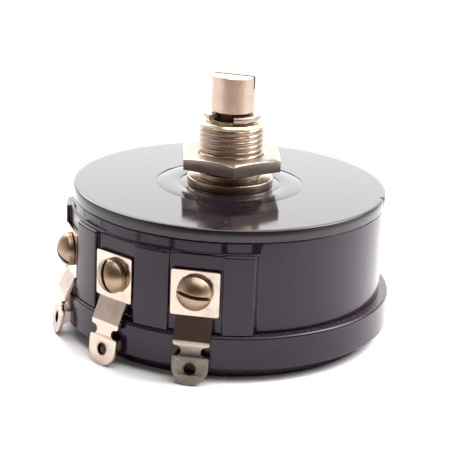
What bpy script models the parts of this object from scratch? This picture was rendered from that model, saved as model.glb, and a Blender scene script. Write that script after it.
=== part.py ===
"""A panel-mounting wirewound potentiometer: a phenolic drum case with three screw terminals.

Frame: the origin is the centre of the rear face, +Z runs along the shaft, and the centre
terminal faces -Y. Dimensions below are in millimetres; the helpers turn them into metres.
An azimuth is counted from -Y towards +X, seen from the shaft end, in degrees.
"""
import math

import bmesh
import bpy
from mathutils import Matrix

MM = 0.001
GAP = 0.05                      # clearance between pieces that touch

# case
REAR_TOP = 1.95
REAR_R = 22.4
FLANGE_BOTTOM = 2.0
FLANGE_TOP = 6.85
FLANGE_R = 24.66
FLANGE_BORE_R = 18.0
WALL_BOTTOM = 6.9
WALL_TOP = 20.15
WALL_R = 23.25
WALL_BORE_R = 20.6
PLATE_BOTTOM = 20.2
PLATE_TOP = 22.0
PLATE_R = 23.35
RIM_ROUND = 0.3
SPIGOT_BOTTOM = 19.4
SPIGOT_R = 20.5
RING_GROOVES_R = (7.55, 11.0)   # fine turned rings in the top face
RING_GROOVE_WIDTH = 0.2
RING_GROOVE_DEPTH = 0.1

# terminal block on the case wall
BLOCK_R = 24.3
BLOCK_TOP = 18.5
BLOCK_HALF_ANGLE = 50.7
BLOCK_FOOT_HALF_ANGLE = 52.5
TERMINALS = {"left": -31.2, "centre": 0.0, "right": 31.2}
SCREW_SLOT_TURN = {"left": 40.0, "centre": 76.0, "right": 9.0}
CHANNEL_WIDTH = 7.6
CHANNEL_TOP = 18.75
CHANNEL_FLOOR = 23.4            # distance of the channel's flat floor from the axis
TERMINAL_Z = 13.0

# terminal lug: one bent strip, as (distance from the axis, height) along its outer face
LUG_THICKNESS = 0.5
LUG_FACE = 24.0
LUG_HEAD_TOP = 16.15
LUG_BENDS = ((LUG_FACE, 9.5), (25.55, 6.35))
LUG_TIP = (26.5, 0.08)
LUG_HEAD_WIDTH = 6.9
LUG_WIDTH = 5.2
LUG_SHOULDER_Z = 5.7
LUG_NECK_WIDTH = 2.8
LUG_NOTCH_R = 0.7
LUG_NOTCH_Z = 4.9
LUG_EYE_R = 0.8
LUG_EYE_Z = 2.4

# terminal screw and insert, along the radius through the terminal
SCREW_HEAD_R = 2.5
SCREW_HEAD_HEIGHT = 2.15
SCREW_HEAD_EDGE = 0.75          # the upright part of the head, under its dome
SCREW_SHANK_R = 1.4
SCREW_SLOT_WIDTH = 0.56
SCREW_SLOT_DEPTH = 1.4
INSERT_R = 2.2
INSERT_NECK_R = 1.75
INSERT_RIM_R = 2.3
INSERT_INNER = 19.6
STRAP_INNER_R = 20.12
STRAP_OUTER_R = 20.42
STRAP_HEIGHT = 4.0
COLLECTOR_THICKNESS = 0.25

# bushing, nuts and shaft
BUSHING_R = 4.7625              # 3/8 in - 32
BUSHING_TOP = 31.6
BUSHING_BOTTOM = 17.3
BUSHING_FLANGE_R = 6.4
BUSHING_FLANGE_TOP = 23.2
SHAFT_R = 3.175                 # 1/4 in
SHAFT_TOP = 38.5
SHAFT_BOTTOM = 5.0
SHAFT_SLOT_WIDTH = 0.6
SHAFT_SLOT_DEPTH = 1.9
CLIP_GROOVE = (31.9, 33.15)
CLIP_GROOVE_R = 2.5
CLIP_Z = (32.08, 32.84)
CLIP_R = 4.25
CLIP_GAP_ANGLE = 57.0
CLIP_AZIMUTH = 15.7
NUT_FLATS = 14.3                # 9/16 in across the flats
NUT_Z = (24.9, 26.9)
NUT_CORNER_AZIMUTH = 44.4
LOCK_NUT_Z = (17.6, 19.3)

# rotor: the wiper's azimuth at rest and the travel between the stops
WIPER_REST = 114.2
WIPER_LIMIT = 37.5              # from the centre terminal, both ways
THRUST_WASHER_R = 5.6
THRUST_WASHER_Z = (16.6, 17.2)
HUB = {"top": 13.2, "step": 9.0, "bottom": 6.0, "r": 8.0, "step_r": 5.4}
ARM_THICKNESS = 0.5
ARM_BASE_R = 7.8
ARM_WIDTH = 4.0
ARM_TAB_R = 17.85
CONTACT_Z = 10.8
CONTACT_R = 1.1
RIVET_OFFSET = 6.5
RIVET_R = 0.7
SLIP_RING = {"inner": 5.5, "outer": 7.7, "bottom": 8.3, "top": 8.9}
STOP_ARM = {"bottom": 15.5, "top": 16.5, "hub_r": 6.0, "reach": 13.4, "width": 3.4}
STOP_RIB = {"inner": 11.0, "outer": 14.0, "bottom": 14.7}

# resistance element
CARD_R = (19.3, 20.1)
CARD_Z = (7.35, 15.35)
CARD_END = 38.8
WINDING_START = 43.5
WRAP_INNER_R = (19.25, 20.15)
WRAP_OUTER_R = (19.0, 20.4)
WRAP_INNER_Z = (7.3, 15.4)
WRAP_OUTER_Z = (7.05, 15.65)

# rear cover screws
REAR_SCREW_AZIMUTHS = (60.0, 180.0, 300.0)
REAR_SCREW_RADIUS = 19.9
REAR_HEAD_R = 2.0
REAR_SHANK_R = 1.1
REAR_SHANK_TOP = 5.6
REAR_SLOT_WIDTH = 0.6
REAR_SLOT_DEPTH = 0.45
REAR_SLOT_STEP = 40.0           # turns each slot a little further than the last

FINE = 72                       # segments round the case
MEDIUM = 36
SMALL = 16

COLORS = {                      # base colour, roughness, metallic
    "phenolic": ((0.022, 0.018, 0.024), 0.28, 0.0),
    "phenolic_polished": ((0.02, 0.017, 0.023), 0.14, 0.0),
    "nickel": ((0.62, 0.55, 0.47), 0.28, 1.0),
    "tinned": ((0.72, 0.68, 0.6), 0.32, 1.0),
    "brass": ((0.72, 0.55, 0.26), 0.3, 1.0),
    "steel": ((0.5, 0.5, 0.5), 0.35, 1.0),
    "bronze": ((0.6, 0.38, 0.2), 0.32, 1.0),
    "card": ((0.2, 0.1, 0.05), 0.7, 0.0),
    "wire": ((0.45, 0.38, 0.33), 0.4, 1.0),
}


def clear_scene():
    for obj in list(bpy.data.objects):
        bpy.data.objects.remove(obj, do_unlink=True)


def new_collection(name):
    collection = bpy.data.collections.new(name)
    bpy.context.scene.collection.children.link(collection)
    return collection


def material(name):
    """One Principled material for each finish, made on first use."""
    found = bpy.data.materials.get(name)
    if found:
        return found
    color, roughness, metallic = COLORS[name]
    mat = bpy.data.materials.new(name)
    mat.use_nodes = True
    shader = mat.node_tree.nodes["Principled BSDF"]
    shader.inputs["Base Color"].default_value = (*color, 1.0)
    shader.inputs["Roughness"].default_value = roughness
    shader.inputs["Metallic"].default_value = metallic
    mat.diffuse_color = (*color, 1.0)
    return mat


def add_object(name, mesh, collection, finish=None, parent=None):
    obj = bpy.data.objects.new(name, mesh)
    collection.objects.link(obj)
    obj.parent = parent
    if finish:
        mesh.materials.append(material(finish))
        mesh.shade_smooth()
    return obj


def add_empty(name, collection, azimuth=0.0):
    empty = bpy.data.objects.new(name, None)
    collection.objects.link(empty)
    empty.empty_display_size = 5 * MM
    empty.rotation_euler.z = math.radians(azimuth)
    return empty


def mark_cutter(obj):
    obj.hide_render = True
    obj.display_type = "WIRE"
    return obj


def polar(radius, azimuth):
    angle = math.radians(azimuth)
    return (radius * math.sin(angle), -radius * math.cos(angle))


def arc(radius, start, end, steps):
    """Points on a circle about the axis, from one azimuth to another."""
    return [polar(radius, start + (end - start) * i / steps) for i in range(steps + 1)]


def circle(radius, steps, center=(0.0, 0.0)):
    points = [polar(radius, 360.0 * i / steps) for i in range(steps)]
    return [(center[0] + x, center[1] + y) for x, y in points]


def turned_mesh(name, profile, closed):
    """A profile of (radius, height) points, listed down the outer side."""
    mesh = bpy.data.meshes.new(name)
    bm = bmesh.new()
    verts = [bm.verts.new((r * MM, 0.0, z * MM)) for r, z in profile]
    for first, second in zip(verts, verts[1:]):
        bm.edges.new((first, second))
    if closed:
        bm.edges.new((verts[-1], verts[0]))
    bm.to_mesh(mesh)
    bm.free()
    return mesh


def turned(name, profile, segments, collection, finish=None, parent=None, closed=True):
    """A turned piece: closed=True for a piece with a bore, False for one on the axis."""
    obj = add_object(name, turned_mesh(name, profile, closed), collection, finish, parent)
    screw = obj.modifiers.new("turn", "SCREW")
    screw.angle = math.tau
    screw.steps = segments
    screw.render_steps = segments
    screw.use_merge_vertices = True
    screw.merge_threshold = 1e-6
    screw.use_smooth_shade = bool(finish)
    return obj


def plate(name, outlines, bottom, top, collection, finish=None, parent=None):
    """A flat outline with any holes, extruded between two heights along local Z."""
    curve = bpy.data.curves.new(name + "_outline", "CURVE")
    curve.dimensions = "2D"
    curve.fill_mode = "BOTH"
    curve.extrude = (top - bottom) / 2 * MM
    for outline in outlines:
        spline = curve.splines.new("POLY")
        spline.points.add(len(outline) - 1)
        for point, (x, y) in zip(spline.points, outline):
            point.co = (x * MM, y * MM, 0.0, 1.0)
        spline.use_cyclic_u = True
    source = bpy.data.objects.new(name + "_outline", curve)
    bpy.context.scene.collection.objects.link(source)
    graph = bpy.context.evaluated_depsgraph_get()
    mesh = bpy.data.meshes.new_from_object(source.evaluated_get(graph))
    mesh.name = name
    bpy.data.objects.remove(source, do_unlink=True)
    bm = bmesh.new()
    bm.from_mesh(mesh)
    bmesh.ops.remove_doubles(bm, verts=bm.verts, dist=1e-7)
    bmesh.ops.recalc_face_normals(bm, faces=bm.faces)
    bm.transform(Matrix.Translation((0.0, 0.0, (top + bottom) / 2 * MM)))
    bm.to_mesh(mesh)
    bm.free()
    return add_object(name, mesh, collection, finish, parent)


def cylinder(name, radius, bottom, top, segments, collection):
    mesh = bpy.data.meshes.new(name)
    bm = bmesh.new()
    place = Matrix.Translation((0.0, 0.0, (bottom + top) / 2 * MM))
    bmesh.ops.create_cone(bm, cap_ends=True, segments=segments, radius1=radius * MM,
                          radius2=radius * MM, depth=(top - bottom) * MM, matrix=place)
    bm.to_mesh(mesh)
    bm.free()
    return add_object(name, mesh, collection)


def box(name, low, high, collection):
    mesh = bpy.data.meshes.new(name)
    bm = bmesh.new()
    size = [(b - a) * MM for a, b in zip(low, high)]
    center = [(a + b) / 2 * MM for a, b in zip(low, high)]
    place = Matrix.Translation(center) @ Matrix.Diagonal((*size, 1.0))
    bmesh.ops.create_cube(bm, size=1.0, matrix=place)
    bm.to_mesh(mesh)
    bm.free()
    return add_object(name, mesh, collection)


def point_outwards(obj):
    """Turns local +Z to the radius through the centre terminal."""
    obj.rotation_euler.x = math.radians(90.0)


def combine(obj, tool, operation="DIFFERENCE"):
    boolean = obj.modifiers.new(operation.lower() + "_" + tool.name, "BOOLEAN")
    boolean.operation = operation
    boolean.object = mark_cutter(tool)
    boolean.solver = "EXACT"


def soften(obj, width, segments=1):
    bevel = obj.modifiers.new("edges", "BEVEL")
    bevel.width = width * MM
    bevel.segments = segments
    bevel.limit_method = "ANGLE"
    bevel.angle_limit = math.radians(50.0)


def grooved_top(grooves, width, depth, top):
    """Top-face profile points with a V groove at each radius, from the middle out."""
    points = []
    for radius in grooves:
        points += [(radius - width / 2, top), (radius, top - depth), (radius + width / 2, top)]
    return points


def stop_rib_outline():
    """An arc rib in the dead zone, its ends parallel to the stop arm where they meet."""
    clearance = STOP_ARM["width"] / 2 + 2 * GAP
    angle = math.radians(WIPER_LIMIT)
    inner, outer = STOP_RIB["inner"], STOP_RIB["outer"]

    def end(radius):
        along = math.sqrt(radius ** 2 - clearance ** 2)
        x = along * math.sin(angle) - clearance * math.cos(angle)
        y = -along * math.cos(angle) - clearance * math.sin(angle)
        return math.degrees(math.atan2(x, -y))

    return arc(outer, -end(outer), end(outer), 16) + arc(inner, end(inner), -end(inner), 16)


def make_front_plate(parts, tools):
    rings = grooved_top(RING_GROOVES_R, RING_GROOVE_WIDTH, RING_GROOVE_DEPTH, PLATE_TOP)
    bore = BUSHING_R + 0.1
    profile = [(bore, PLATE_TOP), *rings, (PLATE_R - RIM_ROUND, PLATE_TOP),
               (PLATE_R - 0.3 * RIM_ROUND, PLATE_TOP - 0.3 * RIM_ROUND), (PLATE_R, PLATE_TOP - RIM_ROUND),
               (PLATE_R, PLATE_BOTTOM + RIM_ROUND / 2), (PLATE_R - RIM_ROUND / 2, PLATE_BOTTOM),
               (SPIGOT_R, PLATE_BOTTOM), (SPIGOT_R, SPIGOT_BOTTOM), (bore, SPIGOT_BOTTOM)]
    obj = turned("front_plate", profile, FINE, parts, "phenolic_polished")
    rib = plate("stop_rib", [stop_rib_outline()], STOP_RIB["bottom"], SPIGOT_BOTTOM + 0.5, tools)
    combine(obj, rib, "UNION")


def block_outline():
    """The terminal block in plan: its ends slope back to the wall, and it runs into it."""
    root = WALL_R - 1.0
    outer = arc(BLOCK_R, -BLOCK_HALF_ANGLE, BLOCK_HALF_ANGLE, 30)
    inner = arc(root, BLOCK_FOOT_HALF_ANGLE, -BLOCK_FOOT_HALF_ANGLE, 20)
    foot = WALL_R - 0.05
    return [polar(foot, -BLOCK_FOOT_HALF_ANGLE), *outer, polar(foot, BLOCK_FOOT_HALF_ANGLE), *inner]


def make_case_wall(parts, tools):
    profile = [(WALL_BORE_R, WALL_TOP), (WALL_R, WALL_TOP), (WALL_R, WALL_BOTTOM),
               (WALL_BORE_R, WALL_BOTTOM)]
    obj = turned("case_wall", profile, FINE, parts, "phenolic")
    combine(obj, plate("terminal_block", [block_outline()], WALL_BOTTOM, BLOCK_TOP, tools), "UNION")
    for side, azimuth in TERMINALS.items():
        half = CHANNEL_WIDTH / 2
        channel = box("channel_" + side, (-half, -BLOCK_R - 1, WALL_BOTTOM - 1),
                      (half, -CHANNEL_FLOOR, CHANNEL_TOP), tools)
        channel.rotation_euler.z = math.radians(azimuth)
        combine(obj, channel)
        hole = cylinder("insert_hole_" + side, INSERT_R + GAP, WALL_BORE_R - 1, BLOCK_R, SMALL, tools)
        hole.parent = add_empty("insert_hole_turn_" + side, tools, azimuth)
        hole.location.z = TERMINAL_Z * MM
        point_outwards(hole)
        combine(obj, hole)


def make_base_ring(parts, tools):
    edge = 0.25
    profile = [(FLANGE_BORE_R, FLANGE_TOP), (FLANGE_R - edge, FLANGE_TOP), (FLANGE_R, FLANGE_TOP - edge),
               (FLANGE_R, FLANGE_BOTTOM + edge), (FLANGE_R - edge, FLANGE_BOTTOM),
               (FLANGE_BORE_R, FLANGE_BOTTOM)]
    obj = turned("base_ring", profile, FINE, parts, "phenolic")
    for number, azimuth in enumerate(REAR_SCREW_AZIMUTHS, 1):
        hole = cylinder(f"ring_hole_{number}", REAR_SHANK_R + GAP, 1.0, REAR_SHANK_TOP + 0.3, SMALL, tools)
        x, y = polar(REAR_SCREW_RADIUS, azimuth)
        hole.location = (x * MM, y * MM, 0.0)
        combine(obj, hole)


def make_rear_cover(parts, tools):
    """A disc with a locating spigot, held by three countersunk screws."""
    edge = 0.3
    spigot_r = FLANGE_BORE_R - 0.1
    spigot_top = REAR_TOP + 0.6
    profile = [(0.0, spigot_top), (spigot_r, spigot_top), (spigot_r, REAR_TOP), (REAR_R, REAR_TOP),
               (REAR_R, edge), (REAR_R - edge, 0.0), (0.0, 0.0)]
    cover = turned("rear_cover", profile, FINE, parts, "phenolic", closed=False)
    head, shank = REAR_HEAD_R + GAP, REAR_SHANK_R + GAP
    sink_profile = [(0.0, REAR_TOP + 1), (shank, REAR_TOP + 1), (shank, head - shank + GAP), (head, GAP),
                    (head, -1.0), (0.0, -1.0)]
    for number, azimuth in enumerate(REAR_SCREW_AZIMUTHS, 1):
        sink = turned(f"countersink_{number}", sink_profile, SMALL, tools, closed=False)
        x, y = polar(REAR_SCREW_RADIUS, azimuth)
        sink.location = (x * MM, y * MM, 0.0)
        combine(cover, sink)
        make_rear_screw(number, sink.location, parts, tools)


def make_rear_screw(number, location, parts, tools):
    """A countersunk slotted screw, its head just inside the cover's face."""
    face = 2 * GAP
    cone = REAR_HEAD_R - REAR_SHANK_R
    profile = [(0.0, REAR_SHANK_TOP), (REAR_SHANK_R, REAR_SHANK_TOP), (REAR_SHANK_R, cone + face),
               (REAR_HEAD_R, face), (0.0, face)]
    screw = turned(f"rear_cover_screw_{number}", profile, SMALL, parts, "steel", closed=False)
    screw.location = location
    half = REAR_SLOT_WIDTH / 2
    slot = box(f"rear_slot_{number}", (-half, -3.0, -1.0), (half, 3.0, face + REAR_SLOT_DEPTH), tools)
    slot.location = location
    slot.rotation_euler.z = math.radians(REAR_SLOT_STEP * number)
    combine(screw, slot)


def make_bushing(parts):
    bore = SHAFT_R + GAP
    lip = 0.3
    profile = [(bore + 0.2, BUSHING_TOP), (BUSHING_R - lip, BUSHING_TOP), (BUSHING_R, BUSHING_TOP - lip),
               (BUSHING_R, BUSHING_FLANGE_TOP), (BUSHING_FLANGE_R - 0.15, BUSHING_FLANGE_TOP),
               (BUSHING_FLANGE_R, BUSHING_FLANGE_TOP - 0.15), (BUSHING_FLANGE_R, PLATE_TOP + GAP),
               (BUSHING_R, PLATE_TOP + GAP), (BUSHING_R, BUSHING_BOTTOM + lip),
               (BUSHING_R - lip, BUSHING_BOTTOM), (bore, BUSHING_BOTTOM), (bore, BUSHING_TOP - 0.2)]
    turned("bushing", profile, MEDIUM, parts, "nickel")


def make_nut(name, heights, corner_azimuth, parts, tools):
    """A hex nut, its corners cut back on both faces, at 30 degrees where it is thick enough."""
    bottom, top = heights
    corner = NUT_FLATS / math.sqrt(3)
    hexagon = [polar(corner, 60.0 * i) for i in range(6)]
    obj = plate(name, [hexagon, circle(BUSHING_R + GAP, MEDIUM)], bottom, top, parts, "nickel")
    obj.rotation_euler.z = math.radians(corner_azimuth)
    flat = NUT_FLATS / 2 - 0.1
    drop = min((corner + 0.5 - flat) * math.tan(math.radians(30.0)), 0.4 * (top - bottom))
    lens = turned(name + "_chamfer", [(0.0, top + GAP), (flat, top + GAP), (corner + 0.5, top + GAP - drop),
                  (corner + 0.5, bottom - GAP + drop), (flat, bottom - GAP), (0.0, bottom - GAP)],
                  MEDIUM, tools, closed=False)
    combine(obj, lens, "INTERSECT")
    return obj


def make_shaft(rotor, parts, tools):
    edge = 0.3
    low, high = CLIP_GROOVE
    profile = [(0.0, SHAFT_TOP), (SHAFT_R - edge, SHAFT_TOP), (SHAFT_R, SHAFT_TOP - edge), (SHAFT_R, high),
               (CLIP_GROOVE_R, high), (CLIP_GROOVE_R, low), (SHAFT_R, low), (SHAFT_R, SHAFT_BOTTOM + edge),
               (SHAFT_R - edge, SHAFT_BOTTOM), (0.0, SHAFT_BOTTOM)]
    obj = turned("shaft", profile, MEDIUM, parts, "nickel", rotor, closed=False)
    half = SHAFT_SLOT_WIDTH / 2
    slot = box("shaft_slot", (-half, -5.0, SHAFT_TOP - SHAFT_SLOT_DEPTH), (half, 5.0, SHAFT_TOP + 1), tools)
    slot.parent = rotor
    combine(obj, slot)


def make_clip(rotor, parts):
    half_gap = CLIP_GAP_ANGLE / 2
    inner = CLIP_GROOVE_R + 0.1
    outline = arc(CLIP_R, half_gap, 360 - half_gap, 28) + arc(inner, 360 - half_gap, half_gap, 28)
    obj = plate("retaining_clip", [outline], *CLIP_Z, parts, "nickel", rotor)
    obj.rotation_euler.z = math.radians(CLIP_AZIMUTH - WIPER_REST)
    soften(obj, 0.12)


def washer(name, inner, outer, bottom, top, parts, finish, parent):
    return turned(name, [(inner, top), (outer, top), (outer, bottom), (inner, bottom)], MEDIUM, parts, finish,
                  parent)


def make_stop_arm(rotor, parts):
    half = STOP_ARM["width"] / 2
    hub_r = STOP_ARM["hub_r"]
    join = math.degrees(math.asin(half / hub_r))
    outline = arc(hub_r, join, 360 - join, 30) + [(-half, -STOP_ARM["reach"]), (half, -STOP_ARM["reach"])]
    bore = circle(SHAFT_R + GAP, MEDIUM)
    plate("stop_arm", [outline, bore], STOP_ARM["bottom"], STOP_ARM["top"], parts, "steel", rotor)


def make_hub(rotor, parts, tools):
    bore = SHAFT_R + GAP
    profile = [(bore, HUB["top"]), (HUB["r"], HUB["top"]), (HUB["r"], HUB["step"]),
               (HUB["step_r"], HUB["step"]), (HUB["step_r"], HUB["bottom"]), (bore, HUB["bottom"])]
    hub = turned("rotor_hub", profile, MEDIUM, parts, "phenolic", rotor)
    ring = washer("slip_ring", SLIP_RING["inner"], SLIP_RING["outer"], SLIP_RING["bottom"], SLIP_RING["top"],
                  parts, "brass", rotor)
    arm = make_wiper_arm(rotor, parts, tools)
    for number, x in enumerate((-RIVET_OFFSET, RIVET_OFFSET), 1):
        hole = cylinder(f"rivet_hole_{number}", RIVET_R + GAP, HUB["bottom"], HUB["top"] + 2, 16, tools)
        hole.parent = rotor
        hole.location.x = x * MM
        for drilled in (hub, ring, arm):
            combine(drilled, hole)
        make_rivet(number, x, rotor, parts)


def make_rivet(number, x, rotor, parts):
    under_head = HUB["top"] + 2 * GAP + ARM_THICKNESS + GAP
    head = 0.5
    profile = [(0.0, under_head + head), (0.7, under_head + head), (1.15, under_head + head / 2),
               (1.2, under_head), (RIVET_R, under_head), (RIVET_R, SLIP_RING["bottom"] + 2 * GAP),
               (0.0, SLIP_RING["bottom"] + 2 * GAP)]
    rivet = turned(f"wiper_rivet_{number}", profile, 16, parts, "brass", rotor, closed=False)
    rivet.location.x = x * MM


def strip_side(centre_line, thickness):
    """Outline of a bent strip seen from its side, with mitred bends, thickened to the left."""
    inner = []
    last = len(centre_line) - 1
    for i, (x, y) in enumerate(centre_line):
        before = centre_line[max(i - 1, 0)]
        after = centre_line[min(i + 1, last)]
        here = (x, y)
        first = segment_normal(before, here) if i > 0 else segment_normal(here, after)
        second = segment_normal(here, after) if i < last else first
        mitre = thickness / (1 + first[0] * second[0] + first[1] * second[1])
        inner.append((x + (first[0] + second[0]) * mitre, y + (first[1] + second[1]) * mitre))
    return list(centre_line) + inner[::-1]


def segment_normal(start, end):
    """The unit normal on the left of a segment."""
    dx, dy = end[0] - start[0], end[1] - start[1]
    length = math.hypot(dx, dy)
    return (-dy / length, dx / length)


def bent_strip(name, side_points, thickness, width, collection, finish=None, parent=None):
    """A strip of even width, bent along (distance from the axis, height) points."""
    outline = strip_side([(-d, z) for d, z in side_points], thickness)
    obj = plate(name, [outline], -width / 2, width / 2, collection, finish, parent)
    # the outline's plane stands up across the radius: x, y, z become y, z, x
    turn = Matrix(((0, 0, 1, 0), (1, 0, 0, 0), (0, 1, 0, 0), (0, 0, 0, 1)))
    obj.data.transform(turn)
    return obj


def make_wiper_arm(rotor, parts, tools):
    """A spring strip: a flat foot on the hub, a bend down, and an upright tab at its tip."""
    top = HUB["top"] + GAP + ARM_THICKNESS
    bends = [(-ARM_BASE_R, top), (16.3, top), (ARM_TAB_R, 12.0), (ARM_TAB_R, 9.6)]
    arm = bent_strip("wiper_arm", bends, ARM_THICKNESS, 2 * ARM_BASE_R, parts, "bronze", rotor)
    half = ARM_WIDTH / 2
    join = math.degrees(math.asin(half / ARM_BASE_R))
    outline = arc(ARM_BASE_R, join, 360 - join, 30) + [(-half * 0.8, -19.0), (half * 0.8, -19.0)]
    shape = plate("arm_shape", [outline, circle(SHAFT_R + 0.3, MEDIUM)], 8.0, 15.0, tools)
    shape.parent = rotor
    combine(arm, shape, "INTERSECT")
    return arm


def make_contact(rotor, parts):
    start = ARM_TAB_R + GAP
    profile = [(0.0, start + 1.0), (0.5, start + 0.9), (0.9, start + 0.6), (CONTACT_R, start + 0.2),
               (CONTACT_R, start), (0.0, start)]
    obj = turned("wiper_contact", profile, SMALL, parts, "bronze", rotor, closed=False)
    obj.location.z = CONTACT_Z * MM
    point_outwards(obj)


def arc_strip(name, radii, heights, start, end, steps, collection, finish=None):
    outline = arc(radii[1], start, end, steps) + arc(radii[0], end, start, steps)
    return plate(name, [outline], *heights, collection, finish)


def wrap(name, start, end, steps, parts, tools, finish):
    """A rectangular sleeve round the card, between two azimuths."""
    obj = arc_strip(name, WRAP_OUTER_R, WRAP_OUTER_Z, start, end, steps, parts, finish)
    core = arc_strip(name + "_core", WRAP_INNER_R, WRAP_INNER_Z, start - 2, end + 2, steps + 2, tools)
    combine(obj, core)


def make_element(parts, tools):
    arc_strip("element_card", CARD_R, CARD_Z, CARD_END, 360 - CARD_END, 60, parts, "card")
    wrap("resistance_winding", WINDING_START, 360 - WINDING_START, 58, parts, tools, "wire")
    clamp_end = WINDING_START - 0.4
    wrap("end_clamp_right", CARD_END + 0.1, clamp_end, 2, parts, tools, "tinned")
    wrap("end_clamp_left", 360 - clamp_end, 360 - CARD_END - 0.1, 2, parts, tools, "tinned")


def make_straps(parts, tools):
    """A strip from each outer insert to the end clamp beside it."""
    low, high = TERMINAL_Z - STRAP_HEIGHT / 2, TERMINAL_Z + STRAP_HEIGHT / 2
    for side in ("left", "right"):
        azimuth = TERMINALS[side]
        sign = math.copysign(1.0, azimuth)
        strap = arc_strip("terminal_strap_" + side, (STRAP_INNER_R, STRAP_OUTER_R), (low, high),
                          azimuth - sign * 6.0, sign * (CARD_END - 0.3), 6, parts, "tinned")
        combine(strap, neck_hole("strap_hole_" + side, azimuth, tools))


def neck_hole(name, azimuth, tools):
    """A radial cutter that clears an insert's neck."""
    hole = cylinder(name, INSERT_NECK_R + GAP, INSERT_INNER - 1, WALL_BORE_R + 1, SMALL, tools)
    hole.parent = add_empty(name + "_turn", tools, azimuth)
    hole.location.z = TERMINAL_Z * MM
    point_outwards(hole)
    return hole


def make_collector(parts, tools):
    """The spring from the centre insert, bent inwards to press up on the slip ring."""
    top = TERMINAL_Z + STRAP_HEIGHT / 2
    under_ring = SLIP_RING["bottom"] - COLLECTOR_THICKNESS - 2 * GAP
    bends = [(STRAP_OUTER_R - 0.1, top), (STRAP_OUTER_R - 0.1, 8.3), (19.3, 7.2), (8.2, 7.3),
             (6.7, under_ring), (5.9, under_ring - 0.4)]
    spring = bent_strip("collector_spring", bends, COLLECTOR_THICKNESS, STRAP_HEIGHT, parts, "bronze")
    combine(spring, neck_hole("collector_hole", 0.0, tools))


def make_lug(side, turn, parts, tools):
    """One bent stamping: a square head behind the screw, and a necked tab with a solder eye."""
    line = [(LUG_FACE, LUG_HEAD_TOP), *LUG_BENDS, LUG_TIP]
    lug = bent_strip("terminal_lug_" + side, line, LUG_THICKNESS, LUG_HEAD_WIDTH, parts, "tinned", turn)
    head, half, neck = LUG_HEAD_WIDTH / 2 + 1, LUG_WIDTH / 2, LUG_NECK_WIDTH / 2
    steps = 8
    notch_turns = [math.pi * i / steps for i in range(steps + 1)]
    notch = [(neck + LUG_NOTCH_R * (1 - math.sin(a)), LUG_NOTCH_Z + LUG_NOTCH_R * math.cos(a))
             for a in notch_turns]
    end_z = LUG_TIP[1] + half
    rounding = [(half * math.cos(a / 2), end_z - half * math.sin(a / 2)) for a in notch_turns]
    bend_z = LUG_BENDS[0][1]
    right = [(head, LUG_HEAD_TOP + 1), (head, bend_z), (half, bend_z), (half, LUG_SHOULDER_Z),
             *notch, (half, LUG_NOTCH_Z - LUG_NOTCH_R), *rounding]
    left = [(-x, z) for x, z in reversed(right[:-1])]
    eye = circle(LUG_EYE_R, SMALL, (0.0, LUG_EYE_Z))
    hole = circle(SCREW_SHANK_R + 0.1, SMALL, (0.0, TERMINAL_Z))
    shape = plate("lug_shape_" + side, [right + left, eye, hole], CHANNEL_FLOOR - 2, LUG_TIP[0] + 2, tools)
    shape.parent = turn
    point_outwards(shape)
    combine(lug, shape, "INTERSECT")


def dome(radius, height, edge, base, steps):
    """Profile of a domed head on the axis, from its crown down to its edge."""
    rise = height - edge
    sphere = (radius ** 2 + rise ** 2) / (2 * rise)
    top = base + height
    reach = math.asin(radius / sphere)
    return [(sphere * math.sin(reach * i / steps), top - sphere * (1 - math.cos(reach * i / steps)))
            for i in range(steps + 1)]


def make_terminal_screw(side, turn, parts, tools):
    base = LUG_FACE + GAP
    profile = dome(SCREW_HEAD_R, SCREW_HEAD_HEIGHT, SCREW_HEAD_EDGE, base, 4)
    profile += [(SCREW_HEAD_R, base), (SCREW_SHANK_R, base), (SCREW_SHANK_R, INSERT_INNER + 0.1),
                (0.0, INSERT_INNER + 0.1)]
    screw = turned("terminal_screw_" + side, profile, 20, parts, "nickel", turn, closed=False)
    screw.location.z = TERMINAL_Z * MM
    point_outwards(screw)
    half = SCREW_SLOT_WIDTH / 2
    crown = base + SCREW_HEAD_HEIGHT
    slot = box("slot_" + side, (-4.0, -half, crown - SCREW_SLOT_DEPTH), (4.0, half, crown + 1), tools)
    slot.parent = turn
    slot.location.z = TERMINAL_Z * MM
    slot.rotation_mode = "ZXY"
    slot.rotation_euler = (math.radians(90.0), 0.0, 0.0)
    slot.data.transform(Matrix.Rotation(math.radians(-SCREW_SLOT_TURN[side]), 4, "Z"))
    combine(screw, slot)


def make_insert(side, turn, parts):
    bore = SCREW_SHANK_R + GAP
    neck_start = STRAP_INNER_R - 0.2
    neck_end = WALL_BORE_R - 0.1
    outer = CHANNEL_FLOOR - GAP
    profile = [(bore, outer), (INSERT_R, outer), (INSERT_R, neck_end), (INSERT_NECK_R, neck_end),
               (INSERT_NECK_R, neck_start), (INSERT_RIM_R, neck_start), (INSERT_RIM_R, INSERT_INNER),
               (bore, INSERT_INNER)]
    obj = turned("terminal_insert_" + side, profile, SMALL, parts, "brass", turn)
    obj.location.z = TERMINAL_Z * MM
    point_outwards(obj)


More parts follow.
